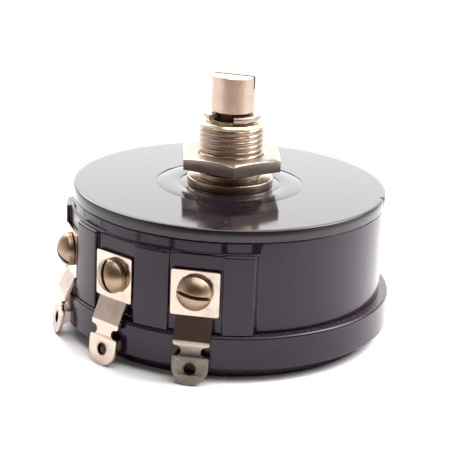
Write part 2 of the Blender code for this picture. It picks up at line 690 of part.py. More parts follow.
def main():
    clear_scene()
    parts = new_collection("panel_potentiometer")
    tools = new_collection("cutters")
    make_front_plate(parts, tools)
    make_case_wall(parts, tools)
    make_base_ring(parts, tools)
    make_rear_cover(parts, tools)
    make_bushing(parts)
    make_nut("bushing_lock_nut", LOCK_NUT_Z, 0.0, parts, tools)
    make_nut("mounting_nut", NUT_Z, NUT_CORNER_AZIMUTH, parts, tools)

    rotor = add_empty("rotor_axis", parts, WIPER_REST)
    make_shaft(rotor, parts, tools)
    make_clip(rotor, parts)
    washer("thrust_washer", SHAFT_R + GAP, THRUST_WASHER_R, *THRUST_WASHER_Z, parts, "brass", rotor)
    make_stop_arm(rotor, parts)
    make_hub(rotor, parts, tools)
    make_contact(rotor, parts)

    make_element(parts, tools)
    make_straps(parts, tools)
    make_collector(parts, tools)
    for side, azimuth in TERMINALS.items():
        turn = add_empty("terminal_turn_" + side, parts, azimuth)
        make_lug(side, turn, parts, tools)
        make_terminal_screw(side, turn, parts, tools)
        make_insert(side, turn, parts)

    for obj in parts.objects:
        if obj.type == "MESH":
            obj.data.set_sharp_from_angle(angle=math.radians(35.0))


main()
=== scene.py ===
"""The looks of a panel potentiometer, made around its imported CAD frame.

Lengths below are in millimetres and the helpers turn them into metres. The frame's origin is
the centre of the rear face, +Z runs along the shaft, and an azimuth is counted from -Y
towards +X, in degrees. Every visible piece is remade here with rounded edges, a cut thread,
bent stampings and slotted heads; the sealed inner pieces keep their CAD solids.
"""
import math

import bmesh
import bpy
from mathutils import Matrix, Vector


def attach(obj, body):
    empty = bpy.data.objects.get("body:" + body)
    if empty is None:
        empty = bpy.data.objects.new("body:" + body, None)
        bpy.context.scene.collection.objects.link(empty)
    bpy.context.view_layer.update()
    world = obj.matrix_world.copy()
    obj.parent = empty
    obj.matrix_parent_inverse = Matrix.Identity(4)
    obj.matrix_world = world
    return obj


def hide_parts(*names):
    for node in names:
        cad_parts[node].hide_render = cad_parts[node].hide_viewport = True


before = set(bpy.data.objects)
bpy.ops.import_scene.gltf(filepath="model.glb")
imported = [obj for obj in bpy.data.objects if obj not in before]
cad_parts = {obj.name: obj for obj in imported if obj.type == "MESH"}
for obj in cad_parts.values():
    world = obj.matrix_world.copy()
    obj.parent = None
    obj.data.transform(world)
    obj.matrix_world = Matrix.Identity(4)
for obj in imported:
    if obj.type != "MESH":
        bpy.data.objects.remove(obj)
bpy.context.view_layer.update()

MM = 0.001

GAP = 0.05                      # between pieces that fit together
EDGE = 0.15                     # the usual rounding of a moulded edge

# case
PLATE_TOP = 22.0
PLATE_BOTTOM = 20.2
PLATE_R = 23.35
PLATE_BORE_R = 4.8625
SPIGOT_BOTTOM = 19.4
SPIGOT_R = 20.5
RING_GROOVES_R = (7.55, 11.0)
GROOVE_SLOPE = 0.7              # each ring is a shallow step, steep on its outer side
GROOVE_WALL = 0.05
GROOVE_DEPTH = 0.1
RIM_WIDTH = 0.8                 # the edge zone that the chip is in
RIM_FILLET = 0.28
CHIP_AZIMUTH = 118.0
CHIP_HALF_ANGLE = 1.3
CHIP_DEPTH = 0.42
WALL_BOTTOM = 6.9
WALL_TOP = 20.15
WALL_R = 23.25
WALL_BORE_R = 20.6
FLANGE_BOTTOM = 2.0
FLANGE_TOP = 6.85
FLANGE_R = 24.66
FLANGE_BORE_R = 18.0
FLANGE_FILLETS = (0.4, 0.28)    # upper and lower outer edge
REAR_TOP = 1.95
REAR_R = 22.4
REAR_SPIGOT_R = 17.9
REAR_SPIGOT_TOP = 2.55
REAR_GROOVE_R = (16.3, 16.45, 16.6)
REAR_GROOVE_DEPTH = 0.12
STOP_RIB_R = (11.05, 13.95)
STOP_RIB_BOTTOM = 14.7
STOP_RIB_END = 28.0

# terminal block
BLOCK_R = 24.3
BLOCK_TOP = 18.5
BLOCK_END = 50.7
BLOCK_FOOT = 52.5
CHANNEL_HALF = 3.8
CHANNEL_FLOOR = 23.4            # distance of a channel's flat floor from the axis
TERMINALS = {"left": -31.2, "centre": 0.0, "right": 31.2}
TERMINAL_Z = 13.0
INSERT_HOLE_R = 2.25

# solder lugs: the outer face as (distance from the axis, height), then widths along it
LUG_FACE = 24.0
LUG_TOP = 16.15
LUG_BENDS = ((LUG_FACE, 9.5), (25.55, 6.35))
LUG_TIP = (26.5, 0.08)
LUG_BEND_R = 0.7
LUG_THICKNESS = 0.48
LUG_HEAD_HALF = 3.45
LUG_HALF = 2.6
LUG_SHOULDER_Z = 5.7
LUG_NECK_HALF = 1.4
LUG_NOTCH_R = 0.7
LUG_NOTCH_Z = 4.9
LUG_EYE_R = 0.8
LUG_EYE_Z = 2.4
LUG_SCREW_HOLE_R = 1.5

# screws
SCREW_HEAD_R = 2.5
SCREW_HEAD_HEIGHT = 2.15
SCREW_HEAD_EDGE = 0.75          # the upright part of the head, under its dome
SCREW_DOME_STEPS = 14
SCREW_SHANK_R = 1.4
SCREW_END = 19.7
SCREW_SLOT_WIDTH = 0.56
SCREW_SLOT_DEPTH = 1.4
SCREW_SLOT_TURN = {"left": 40.0, "centre": 76.0, "right": 9.0}
COVER_SCREW_AZIMUTHS = (60.0, 180.0, 300.0)
COVER_SCREW_RADIUS = 19.9
COVER_SCREW_SLOT_STEP = 40.0    # each screw stopped at another angle
COVER_SCREW_HOLE = (1.15, 1.0, 5.9)         # radius, bottom and top
COVER_SCREW_SHANK_R = 1.1
COVER_SCREW_HEAD_R = 2.0
COVER_SCREW_FACE = 0.1
COVER_SCREW_NECK = 1.0
COVER_SCREW_END = 5.6
COVER_SCREW_SLOT = (0.3, 0.55)              # half width, and the height of its floor
COUNTERSINK_R = 2.05

# bushing, nut, shaft and clip
THREAD_R = 4.7625
THREAD_PITCH = 0.79375
THREAD_DEPTH = 0.13
THREAD_CREST = 0.14             # the crest's flat and the flank, as shares of half a turn
THREAD_FLANK = 0.62
BUSHING_TOP = 31.6
BUSHING_BOTTOM = 17.3
BUSHING_BORE_R = 3.225
BUSHING_FLANGE_R = 6.4
BUSHING_FLANGE_TOP = 23.2
BUSHING_FLANGE_BOTTOM = 22.05
BUSHING_CHAMFER = 0.3
THREAD_TOP = BUSHING_TOP - BUSHING_CHAMFER
NUT_FLATS = 14.3
NUT_Z = (24.9, 26.9)
NUT_BORE_R = 4.8125
NUT_CHAMFER_ANGLE = 16.0
NUT_CORNER_AZIMUTH = 44.4
NUT_FACE_INSET = 0.12           # how far the round face stops short of the flats
NUT_MOUTH = ((0.0, 0.45), (0.1, 0.3), (0.4, 0.03), (0.48, 0.0))     # (past the bore, below the face)
NUT_THREAD_DEPTH = 0.3
SHAFT_R = 3.175
SHAFT_TOP = 38.5
SHAFT_BOTTOM = 5.0
SHAFT_GROOVE = (31.9, 33.15)
SHAFT_GROOVE_R = 2.5
SHAFT_SLOT_WIDTH = 0.6
SHAFT_SLOT_DEPTH = 1.9
SHAFT_SLOT_AZIMUTH = 114.2
CLIP_Z = (32.08, 32.84)
CLIP_R = (2.6, 4.25)
CLIP_GAP = 57.0
CLIP_AZIMUTH = 15.7

# smoothness
ROUND = 256
MEDIUM = 144
SMALL = 64
FILLET_STEPS = 4
ARC_STEPS = 40
BLOCK_FACE_STEP = 1.5           # degrees between points on the block's face
NUT_STEPS = 16                  # across a flat, and down the bore
THREAD_ROWS = 14                # rings for each turn of the thread
CLIP_STEPS = 110
LUG_ARC_STEPS = 10
HOLE_STEPS = 36
SHARP_ANGLE = 38.0

# dirt, wear and painted shade
DUST = (0.16, 0.15, 0.15)
DISC_DUST = (0.42, 0.41, 0.40)
# speckled dirt on faces that look up, made darker still as painted shade
LEDGE_DIRT_AND_SHADE = (0.045, 0.038, 0.034)
# painted shade for the dark groove in the shaft
GROOVE_SHADE = (0.06, 0.035, 0.022)
# painted shade in and round the lugs' solder eyes
EYE_SHADE = (0.035, 0.025, 0.02)
BARE_BRASS = (0.74, 0.64, 0.40)
TARNISH = (0.30, 0.22, 0.15)
RIM_ROUGHNESS = 0.16

# camera and light
CAMERA_AZIMUTH = 41.2
CAMERA_ELEVATION = 17.99
CAMERA_DISTANCE = 243.84
CAMERA_TARGET_Z = 15.236
CAMERA_ROLL = 2.31
CAMERA_LENS = 129.08
CAMERA_SHIFT_X = -0.0069
FLOOR_R = 96.0
TENT_AZIMUTH = 221.0            # the bright side of the tent
TENT_STRENGTH = 2.25
TABLE_EDGE = (-0.28, -0.14)     # where the white table ends, as the height of a direction
WARM_LIGHT = (1.0, 0.73, 0.60, 1.0)
PALE_LIGHT = (1.0, 0.985, 0.98, 1.0)
BACKDROP_STRENGTH = 1.1
KEY_AZIMUTH = 112.0
KEY_ELEVATION = 71.0
KEY_DISTANCE = 320.0
KEY_SIZE = 420.0
KEY_POWER = 1.75
SIDE_AZIMUTH = 138.0
SIDE_ELEVATION = 44.0
SIDE_DISTANCE = 175.0
SIDE_SIZE = 120.0
SIDE_POWER = 0.4
FILL_AZIMUTH = 262.0
FILL_POWER = 0.26


# ---------------- mesh helpers

def polar(radius, azimuth):
    angle = math.radians(azimuth)
    return (radius * math.sin(angle), -radius * math.cos(angle))


def rounded(corners, closed=True):
    """Puts an arc in each corner of a flat outline of (x, y, fillet radius) points."""
    points = []
    count = len(corners)
    for i, (x, y, fillet) in enumerate(corners):
        corner = Vector((x, y))
        inner = closed or 0 < i < count - 1
        if not inner or fillet <= 0.0:
            points.append((x, y))
            continue
        before = Vector(corners[i - 1][:2]) - corner
        after = Vector(corners[(i + 1) % count][:2]) - corner
        points += corner_arc(corner, before, after, fillet)
    return points


def corner_arc(corner, before, after, fillet):
    half = before.angle(after) / 2.0
    if half > math.radians(89.5):
        return [tuple(corner)]
    reach = min(fillet / math.tan(half), before.length * 0.49, after.length * 0.49)
    radius = reach * math.tan(half)
    start = corner + before.normalized() * reach
    middle = (before.normalized() + after.normalized()).normalized()
    center = corner + middle * (radius / math.sin(half))
    sweep = (start - center).angle_signed(corner + after.normalized() * reach - center)
    arm = start - center
    steps = [sweep * i / FILLET_STEPS for i in range(FILLET_STEPS + 1)]
    return [tuple(center + Matrix.Rotation(-turn, 2) @ arm) for turn in steps]


def link(name, mesh, place=None):
    obj = bpy.data.objects.new(name, mesh)
    bpy.context.scene.collection.objects.link(obj)
    if place is not None:
        obj.matrix_world = place
    return obj


def finish_mesh(name, bm):
    bmesh.ops.recalc_face_normals(bm, faces=bm.faces)
    mesh = bpy.data.meshes.new(name)
    bm.to_mesh(mesh)
    bm.free()
    mesh.shade_smooth()
    return mesh


def mesh_from_rings(name, rings, wrap=True, caps=False):
    """Joins rings of millimetre points with quads. A ring of one point closes to a tip."""
    bm = bmesh.new()
    rows = [[bm.verts.new([c * MM for c in point]) for point in ring] for ring in rings]
    pairs = list(zip(rows, rows[1:]))
    if wrap:
        pairs.append((rows[-1], rows[0]))
    for lower, upper in pairs:
        join_rows(bm, lower, upper)
    if caps:
        bm.faces.new(rows[0])
        bm.faces.new(rows[-1])
    return finish_mesh(name, bm)


def join_rows(bm, lower, upper):
    count = max(len(lower), len(upper))
    for i in range(count):
        j = (i + 1) % count
        if len(lower) == 1:
            bm.faces.new((lower[0], upper[i], upper[j]))
        elif len(upper) == 1:
            bm.faces.new((lower[i], upper[0], lower[j]))
        else:
            bm.faces.new((lower[i], upper[i], upper[j], lower[j]))


def turned_rings(profile, segments):
    rings = []
    for radius, height in profile:
        if radius < 1e-6:
            rings.append([(0.0, 0.0, height)])
        else:
            rings.append([(*polar(radius, 360.0 * i / segments), height) for i in range(segments)])
    return rings


def turned(name, corners, segments, closed=True):
    """A turned piece from its (radius, height, fillet) corners; closed for one with a bore."""
    profile = rounded(corners, closed)
    return link(name, mesh_from_rings(name, turned_rings(profile, segments), wrap=closed))


def filled(name, outlines):
    """A flat sheet in local XY, in millimetres, with any inner outlines as holes."""
    curve = bpy.data.curves.new(name, "CURVE")
    curve.dimensions = "2D"
    curve.fill_mode = "BOTH"
    for outline in outlines:
        spline = curve.splines.new("POLY")
        spline.points.add(len(outline) - 1)
        for point, (x, y) in zip(spline.points, outline):
            point.co = (x, y, 0.0, 1.0)
        spline.use_cyclic_u = True
    source = link(name + "_outline", curve)
    graph = bpy.context.evaluated_depsgraph_get()
    sheet = bpy.data.meshes.new_from_object(source.evaluated_get(graph))
    bpy.data.objects.remove(source, do_unlink=True)
    bm = bmesh.new()
    bm.from_mesh(sheet)
    bmesh.ops.remove_doubles(bm, verts=bm.verts, dist=1e-5)
    return bm


def box_tool(low, high, place):
    mesh = bpy.data.meshes.new("tool")
    bm = bmesh.new()
    size = [(b - a) * MM for a, b in zip(low, high)]
    center = [(a + b) / 2 * MM for a, b in zip(low, high)]
    bmesh.ops.create_cube(bm, size=1.0, matrix=Matrix.Translation(center) @ Matrix.Diagonal((*size, 1.0)))
    bm.to_mesh(mesh)
    bm.free()
    return link("tool", mesh, place)


def round_tool(radius, bottom, top, place):
    profile = [(0.0, bottom), (radius, bottom), (radius, top), (0.0, top)]
    mesh = mesh_from_rings("tool", turned_rings(profile, SMALL), wrap=False)
    return link("tool", mesh, place)


def apply_modifiers(obj):
    graph = bpy.context.evaluated_depsgraph_get()
    made = bpy.data.meshes.new_from_object(obj.evaluated_get(graph))
    made.name = obj.name
    obj.modifiers.clear()
    obj.data = made


def cut(obj, tools, operation="DIFFERENCE"):
    """Cuts an object with each tool, or joins them, then removes the tools."""
    for tool in tools:
        boolean = obj.modifiers.new("cut", "BOOLEAN")
        boolean.operation = operation
        boolean.object = tool
        boolean.solver = "EXACT"
    apply_modifiers(obj)
    for tool in tools:
        bpy.data.objects.remove(tool, do_unlink=True)


def soften(obj, width, segments=2, angle=40.0):
    bevel = obj.modifiers.new("edges", "BEVEL")
    bevel.width = width * MM
    bevel.segments = segments
    bevel.limit_method = "ANGLE"
    bevel.angle_limit = math.radians(angle)
    bevel.harden_normals = False
    apply_modifiers(obj)


def even_shading(obj):
    """Lets large flat faces set the normals, so that reflections in them stay straight."""
    obj.data.shade_smooth()
    obj.data.set_sharp_from_angle(angle=math.radians(SHARP_ANGLE))
    weighted = obj.modifiers.new("shading", "WEIGHTED_NORMAL")
    weighted.mode = "FACE_AREA"
    weighted.weight = 80
    weighted.keep_sharp = True


def outwards(azimuth, height):
    """The place of a piece whose local +Z points out along an azimuth."""
    turn = Matrix.Rotation(math.radians(azimuth), 4, "Z")
    return Matrix.Translation((0.0, 0.0, height * MM)) @ turn @ Matrix.Rotation(math.radians(90.0), 4, "X")


# ---------------- material helpers

def new_material(name, color, roughness, metallic=0.0, ior=1.5):
    mat = bpy.data.materials.new(name)
    mat.use_nodes = True
    shader = mat.node_tree.nodes["Principled BSDF"]
    shader.inputs["Base Color"].default_value = (*color, 1.0)
    shader.inputs["Roughness"].default_value = roughness
    shader.inputs["Metallic"].default_value = metallic
    shader.inputs["IOR"].default_value = ior
    return mat


def shader_of(mat):
    return mat.node_tree.nodes["Principled BSDF"]


def plug(mat, source, target):
    mat.node_tree.links.new(source, target)


def object_point(mat, stretch=(1.0, 1.0, 1.0)):
    """The point on the piece in its own millimetres, each axis stretched."""
    nodes = mat.node_tree.nodes
    coords = nodes.new("ShaderNodeTexCoord")
    mapping = nodes.new("ShaderNodeMapping")
    mapping.inputs["Scale"].default_value = [s / MM for s in stretch]
    plug(mat, coords.outputs["Object"], mapping.inputs["Vector"])
    return mapping.outputs["Vector"]


def noise(mat, point, scale, detail, roughness=0.55):
    node = mat.node_tree.nodes.new("ShaderNodeTexNoise")
    node.inputs["Scale"].default_value = scale
    node.inputs["Detail"].default_value = detail
    node.inputs["Roughness"].default_value = roughness
    plug(mat, point, node.inputs["Vector"])
    return node.outputs["Fac"]


def specks(mat, point, scale, size):
    """Small separate dots, 1 at the middle of each and 0 between them."""
    node = mat.node_tree.nodes.new("ShaderNodeTexVoronoi")
    node.inputs["Scale"].default_value = scale
    plug(mat, point, node.inputs["Vector"])
    return remap(mat, node.outputs["Distance"], 0.0, size, 1.0, 0.0)


def remap(mat, value, low, high, to_low, to_high):
    node = mat.node_tree.nodes.new("ShaderNodeMapRange")
    node.inputs["From Min"].default_value = low
    node.inputs["From Max"].default_value = high
    node.inputs["To Min"].default_value = to_low
    node.inputs["To Max"].default_value = to_high
    plug(mat, value, node.inputs["Value"])
    return node.outputs["Result"]


def math_node(mat, operation, first, second=None):
    """A sum on sockets or plain numbers."""
    node = mat.node_tree.nodes.new("ShaderNodeMath")
    node.operation = operation
    for socket, value in zip(node.inputs, (first, second)):
        if isinstance(value, (int, float)):
            socket.default_value = value
        elif value is not None:
            plug(mat, value, socket)
    return node.outputs[0]


def blend_colors(mat, factor, first, second):
    """A colour between two, each given as a triple or as a socket."""
    node = mat.node_tree.nodes.new("ShaderNodeMix")
    node.data_type = "RGBA"
    plug(mat, factor, node.inputs["Factor"])
    for socket, value in ((node.inputs[6], first), (node.inputs[7], second)):
        if isinstance(value, tuple):
            socket.default_value = (*value, 1.0)
        else:
            plug(mat, value, socket)
    return node.outputs[2]


def bump(mat, height, distance, strength, normal=None):
    """Relief of a height map; distance is its depth in millimetres."""
    node = mat.node_tree.nodes.new("ShaderNodeBump")
    node.inputs["Distance"].default_value = distance * MM
    node.inputs["Strength"].default_value = strength
    plug(mat, height, node.inputs["Height"])
    if normal is not None:
        plug(mat, normal, node.inputs["Normal"])
    return node.outputs["Normal"]


def split(mat, point):
    node = mat.node_tree.nodes.new("ShaderNodeSeparateXYZ")
    plug(mat, point, node.inputs[0])
    return node.outputs


def distance_from_axis(mat, point):
    x, y, _ = split(mat, point)
    squares = math_node(mat, "ADD", math_node(mat, "MULTIPLY", x, x), math_node(mat, "MULTIPLY", y, y))
    return math_node(mat, "SQRT", squares)


def facing_up(mat):
    """How far the surface faces up the shaft, in the frame of the piece itself."""
    coords = mat.node_tree.nodes.new("ShaderNodeTexCoord")
    return split(mat, coords.outputs["Normal"])[2]


# ---------------- materials

def phenolic(name, color, roughness):
    """Black moulded phenolic: satin, faintly mottled, with dirt and painted shade on what faces up."""
    mat = new_material(name, color, roughness, ior=1.4)
    shader = shader_of(mat)
    point = object_point(mat)
    cloud = noise(mat, point, 0.18, 5.0, 0.6)
    grain = noise(mat, point, 6.0, 3.0, 0.6)
    lighter = tuple(min(1.0, c * 1.5 + 0.002) for c in color)
    tone = blend_colors(mat, remap(mat, cloud, 0.3, 0.75, 0.0, 1.0), color, lighter)
    patches = remap(mat, cloud, 0.5, 0.65, 0.0, 0.2)
    dust = math_node(mat, "MULTIPLY", specks(mat, point, 0.9, 0.04), patches)
    speckle = remap(mat, noise(mat, point, 1.6, 5.0, 0.7), 0.42, 0.62, 0.25, 0.9)
    # faces that look up get speckled dirt, darkened further as painted shade
    dirt_and_shade = math_node(mat, "MULTIPLY", remap(mat, facing_up(mat), 0.8, 0.98, 0.0, 1.0), speckle)
    tone = blend_colors(mat, dust, tone, DUST)
    plug(mat, blend_colors(mat, dirt_and_shade, tone, LEDGE_DIRT_AND_SHADE), shader.inputs["Base Color"])
    rough = math_node(mat, "ADD", remap(mat, cloud, 0.3, 0.7, roughness - 0.03, roughness + 0.05),
                      math_node(mat, "MULTIPLY", dirt_and_shade, 0.15))
    plug(mat, rough, shader.inputs["Roughness"])
    broad = bump(mat, noise(mat, point, 0.3, 2.0), 0.012, 0.5)
    plug(mat, bump(mat, grain, 0.0015, 0.5, broad), shader.inputs["Normal"])
    return mat


def polished_phenolic(name):
    """The lapped front disc: a dark mirror, with dust and hairlines; its rim is satin."""
    color = (0.0070, 0.0040, 0.0068)
    mat = new_material(name, color, 0.07, ior=1.5)
    shader = shader_of(mat)
    point = object_point(mat)
    height = split(mat, point)[2]
    on_top = remap(mat, height, PLATE_TOP - 0.25, PLATE_TOP - 0.05, 0.0, 1.0)
    cloud = noise(mat, point, 0.12, 5.0, 0.6)
    dust = math_node(mat, "MULTIPLY", specks(mat, point, 0.42, 0.055), on_top)
    tone = blend_colors(mat, remap(mat, cloud, 0.3, 0.7, 0.0, 1.0), color, (0.012, 0.009, 0.012))
    plug(mat, blend_colors(mat, dust, tone, DISC_DUST), shader.inputs["Base Color"])
    node = mat.node_tree.nodes.new("ShaderNodeMix")
    plug(mat, on_top, node.inputs["Factor"])
    node.inputs[2].default_value = RIM_ROUGHNESS
    plug(mat, lapped_roughness(mat, point, cloud), node.inputs[3])
    plug(mat, node.outputs[0], shader.inputs["Roughness"])
    wave = bump(mat, noise(mat, point, 0.16, 2.0), 0.006, 0.5)
    plug(mat, bump(mat, dust, 0.03, 0.6, wave), shader.inputs["Normal"])
    return mat


def lapped_roughness(mat, point, cloud):
    """The top face: cloudy, with hairlines along one direction, and duller inside the outer ring."""
    hair = noise(mat, object_point(mat, (1.0, 0.05, 1.0)), 2.2, 3.0)
    rough = math_node(mat, "ADD", remap(mat, cloud, 0.35, 0.7, 0.07, 0.13),
                      remap(mat, hair, 0.5, 0.8, 0.0, 0.05))
    ring = RING_GROOVES_R[1]
    inner = remap(mat, distance_from_axis(mat, point), ring - 0.1, ring + 0.1, 0.02, 0.0)
    return math_node(mat, "ADD", rough, inner)


def plated(name, color, roughness, streak, brass_band=None, groove_shade_band=None, wave=0.0,
           face_rough=0.0, eye=False, shade_below=None):
    """Nickel plate with tool marks along one direction, patches of tarnish and bare brass.

    brass_band and the bands of painted shade, in a groove and on the end below, are pairs of heights
    on the piece. face_rough is what a face that looks up has more of, and that face is also painted
    darker as painted shade; eye paints black shade in and round the lug's solder hole.
    """
    mat = new_material(name, color, roughness, metallic=1.0)
    shader = shader_of(mat)
    point = object_point(mat)
    height = split(mat, point)[2]
    cloud = noise(mat, point, 0.4, 3.0, 0.5)
    marks = noise(mat, object_point(mat, streak), 1.6, 4.0, 0.7)
    paler = tuple(min(1.0, c * 1.12) for c in color)
    darker = tuple(0.55 * c + 0.45 * c * t for c, t in zip(color, TARNISH))
    tone = blend_colors(mat, remap(mat, marks, 0.3, 0.7, 0.0, 1.0), color, paler)
    tone = blend_colors(mat, remap(mat, cloud, 0.5, 0.85, 0.0, 0.8), tone, darker)
    rough = math_node(mat, "ADD", remap(mat, cloud, 0.3, 0.7, roughness - 0.03, roughness + 0.06),
                      remap(mat, marks, 0.3, 0.7, -0.03, 0.03))
    if face_rough > 0.0:
        # a face that looks up is rougher, and is also painted darker: a painted shade
        flat = remap(mat, facing_up(mat), 0.9, 0.99, 0.0, 1.0)
        tone = blend_colors(mat, math_node(mat, "MULTIPLY", flat, 0.7), tone, darker)
        rough = math_node(mat, "ADD", rough, math_node(mat, "MULTIPLY", flat, face_rough))
    if brass_band is not None:
        bare = remap(mat, height, brass_band[0], brass_band[1], 0.0, 1.0)
        tone = blend_colors(mat, bare, tone, BARE_BRASS)
    # painted shade in the shaft's groove
    if groove_shade_band is not None:
        tone, rough = shaded_groove(mat, tone, rough, height, groove_shade_band)
    # the end below a height is painted darker: a painted shade
    if shade_below is not None:
        end_shade_tone = tuple(0.3 * c for c in color)
        tone, rough = shaded_end(mat, tone, rough, height, shade_below, cloud, end_shade_tone)
    # painted shade, black in and round the solder eye
    if eye:
        tone = shaded_eye(mat, tone, point)
    plug(mat, tone, shader.inputs["Base Color"])
    plug(mat, rough, shader.inputs["Roughness"])
    fine = bump(mat, marks, 0.0015, 0.4)
    if wave > 0.0:
        fine = bump(mat, noise(mat, point, 0.25, 2.0), wave, 0.5, fine)
    plug(mat, fine, shader.inputs["Normal"])
    return mat


def shaded_groove(mat, tone, rough, height, band):
    """Painted shade in the groove between two heights."""
    above = remap(mat, height, band[0] - 0.05, band[0], 0.0, 1.0)
    below = remap(mat, height, band[1], band[1] + 0.05, 1.0, 0.0)
    groove_shade_mask = math_node(mat, "MULTIPLY", above, below)
    tone = blend_colors(mat, groove_shade_mask, tone, GROOVE_SHADE)
    return tone, math_node(mat, "ADD", rough, math_node(mat, "MULTIPLY", groove_shade_mask, 0.3))


def shaded_end(mat, tone, rough, height, band, cloud, end_shade_tone):
    """Painted shade on the end below a height, a little uneven."""
    end_shade = remap(mat, height, band[0], band[1], 1.0, 0.0)
    end_shade = math_node(mat, "MULTIPLY", end_shade, remap(mat, cloud, 0.3, 0.7, 0.85, 1.0))
    tone = blend_colors(mat, end_shade, tone, end_shade_tone)
    return tone, math_node(mat, "ADD", rough, math_node(mat, "MULTIPLY", end_shade, 0.12))


def shaded_eye(mat, tone, point):
    """Painted shade: black in and round the solder eye."""
    across, _, up = split(mat, point)
    up = math_node(mat, "SUBTRACT", up, LUG_EYE_Z)
    reach = math_node(mat, "ADD", math_node(mat, "MULTIPLY", across, across),
                      math_node(mat, "MULTIPLY", up, up))
    eye_shade_mask = remap(mat, reach, (LUG_EYE_R + 0.03) ** 2, (LUG_EYE_R + 0.35) ** 2, 1.0, 0.0)
    return blend_colors(mat, math_node(mat, "POWER", eye_shade_mask, 2.0), tone, EYE_SHADE)


def fibre(name):
    """Brown pressed card with fine fibres."""
    color = (0.16, 0.085, 0.04)
    mat = new_material(name, color, 0.75)
    shader = shader_of(mat)
    fibres = noise(mat, object_point(mat, (4.0, 4.0, 0.6)), 3.0, 6.0, 0.7)
    tone = blend_colors(mat, remap(mat, fibres, 0.35, 0.7, 0.0, 1.0), color, (0.29, 0.17, 0.09))
    plug(mat, tone, shader.inputs["Base Color"])
    plug(mat, remap(mat, fibres, 0.3, 0.7, 0.65, 0.85), shader.inputs["Roughness"])
    plug(mat, bump(mat, fibres, 0.03, 0.7), shader.inputs["Normal"])
    return mat


def dress(obj, mat):
    obj.data.materials.clear()
    obj.data.materials.append(mat)


def add_piece(obj, body, node, mat):
    """A finished piece: what it rides on, which CAD node it stands for, and its finish."""
    dress(obj, mat)
    even_shading(obj)
    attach(obj, body)
    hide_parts(node)


# ---------------- the case

def arc_block(name, radii, heights, start, end):
    """A block that follows an arc between two azimuths."""
    rings = []
    for i in range(ARC_STEPS + 1):
        azimuth = start + (end - start) * i / ARC_STEPS
        inner, outer = (polar(radius, azimuth) for radius in radii)
        low, high = heights
        rings.append([(*inner, low), (*outer, low), (*outer, high), (*inner, high)])
    return link(name, mesh_from_rings(name, rings, wrap=False, caps=True))


def make_top_disc(mat):
    grooves = []
    for radius in RING_GROOVES_R:
        grooves += [(radius - GROOVE_SLOPE, PLATE_TOP, 0.0), (radius, PLATE_TOP - GROOVE_DEPTH, 0.0),
                    (radius + GROOVE_WALL, PLATE_TOP, 0.04)]
    corners = [(PLATE_BORE_R, PLATE_TOP, EDGE), *grooves, (PLATE_R - RIM_WIDTH, PLATE_TOP, 0.0),
               (PLATE_R, PLATE_TOP, RIM_FILLET), (PLATE_R, PLATE_BOTTOM, 0.18),
               (SPIGOT_R, PLATE_BOTTOM, 0.05), (SPIGOT_R, SPIGOT_BOTTOM, 0.2),
               (PLATE_BORE_R, SPIGOT_BOTTOM, EDGE)]
    disc = turned("top_disc", corners, 2 * ROUND)
    chip_rim(disc.data)
    rib_heights = (STOP_RIB_BOTTOM, SPIGOT_BOTTOM + 0.4)
    rib = arc_block("stop_rib", STOP_RIB_R, rib_heights, -STOP_RIB_END, STOP_RIB_END)
    cut(disc, [rib], "UNION")
    add_piece(disc, "case", "front_plate", mat)


def chip_rim(mesh):
    """A small bite out of the disc's top edge."""
    for vert in mesh.vertices:
        radius = math.hypot(vert.co.x, vert.co.y) / MM
        height = vert.co.z / MM
        if radius < PLATE_R - RIM_WIDTH + 0.1 or height < PLATE_TOP - RIM_WIDTH:
            continue
        azimuth = math.degrees(math.atan2(vert.co.x, -vert.co.y))
        reach = abs(azimuth - CHIP_AZIMUTH) / CHIP_HALF_ANGLE
        if reach < 1.0:
            bite = CHIP_DEPTH * (1.0 - reach) * (0.7 + 0.3 * math.cos(9.0 * azimuth))
            scale = (radius - bite) / radius
            vert.co.x *= scale
            vert.co.y *= scale
            vert.co.z -= 0.35 * bite * MM


def block_outline():
    """The drum in plan at the terminal block: a circle, the block's arc, and three flat channels."""
    corners = [(*polar(WALL_R, 180.0 + 1.5 * i), 0.0) for i in range(-84, 85)]
    corners += [(*polar(WALL_R, -BLOCK_FOOT), 0.25), (*polar(BLOCK_R, -BLOCK_END), 0.35)]
    edge = math.degrees(math.asin(CHANNEL_HALF / BLOCK_R))
    azimuth = -BLOCK_END
    channel = [(-CHANNEL_HALF, -BLOCK_R + 0.3, 0.22), (-CHANNEL_HALF, -CHANNEL_FLOOR, 0.12),
               *((CHANNEL_HALF * i / 5, -CHANNEL_FLOOR, 0.0) for i in range(-4, 5)),
               (CHANNEL_HALF, -CHANNEL_FLOOR, 0.12), (CHANNEL_HALF, -BLOCK_R + 0.3, 0.22)]
    for center in TERMINALS.values():
        corners += block_arc(azimuth, center - edge)
        turn = Matrix.Rotation(math.radians(center), 2)
        for x, y, fillet in channel:
            corners.append((*(turn @ Vector((x, y))), fillet))
        azimuth = center + edge
    corners += block_arc(azimuth, BLOCK_END)
    corners += [(*polar(BLOCK_R, BLOCK_END), 0.35), (*polar(WALL_R, BLOCK_FOOT), 0.25)]
    return rounded(corners)


def block_arc(start, end):
    """Points on the block's face strictly between two azimuths."""
    count = max(2, round((end - start) / BLOCK_FACE_STEP))
    return [(*polar(BLOCK_R, start + (end - start) * i / count), 0.0) for i in range(1, count)]


def quarter(radius):
    """Steps of a rounded edge as (inset, height) from its side to its top."""
    turns = [math.radians(90.0) * i / FILLET_STEPS for i in range(FILLET_STEPS + 1)]
    return [(radius * (1 - math.cos(a)), radius * math.sin(a)) for a in turns]


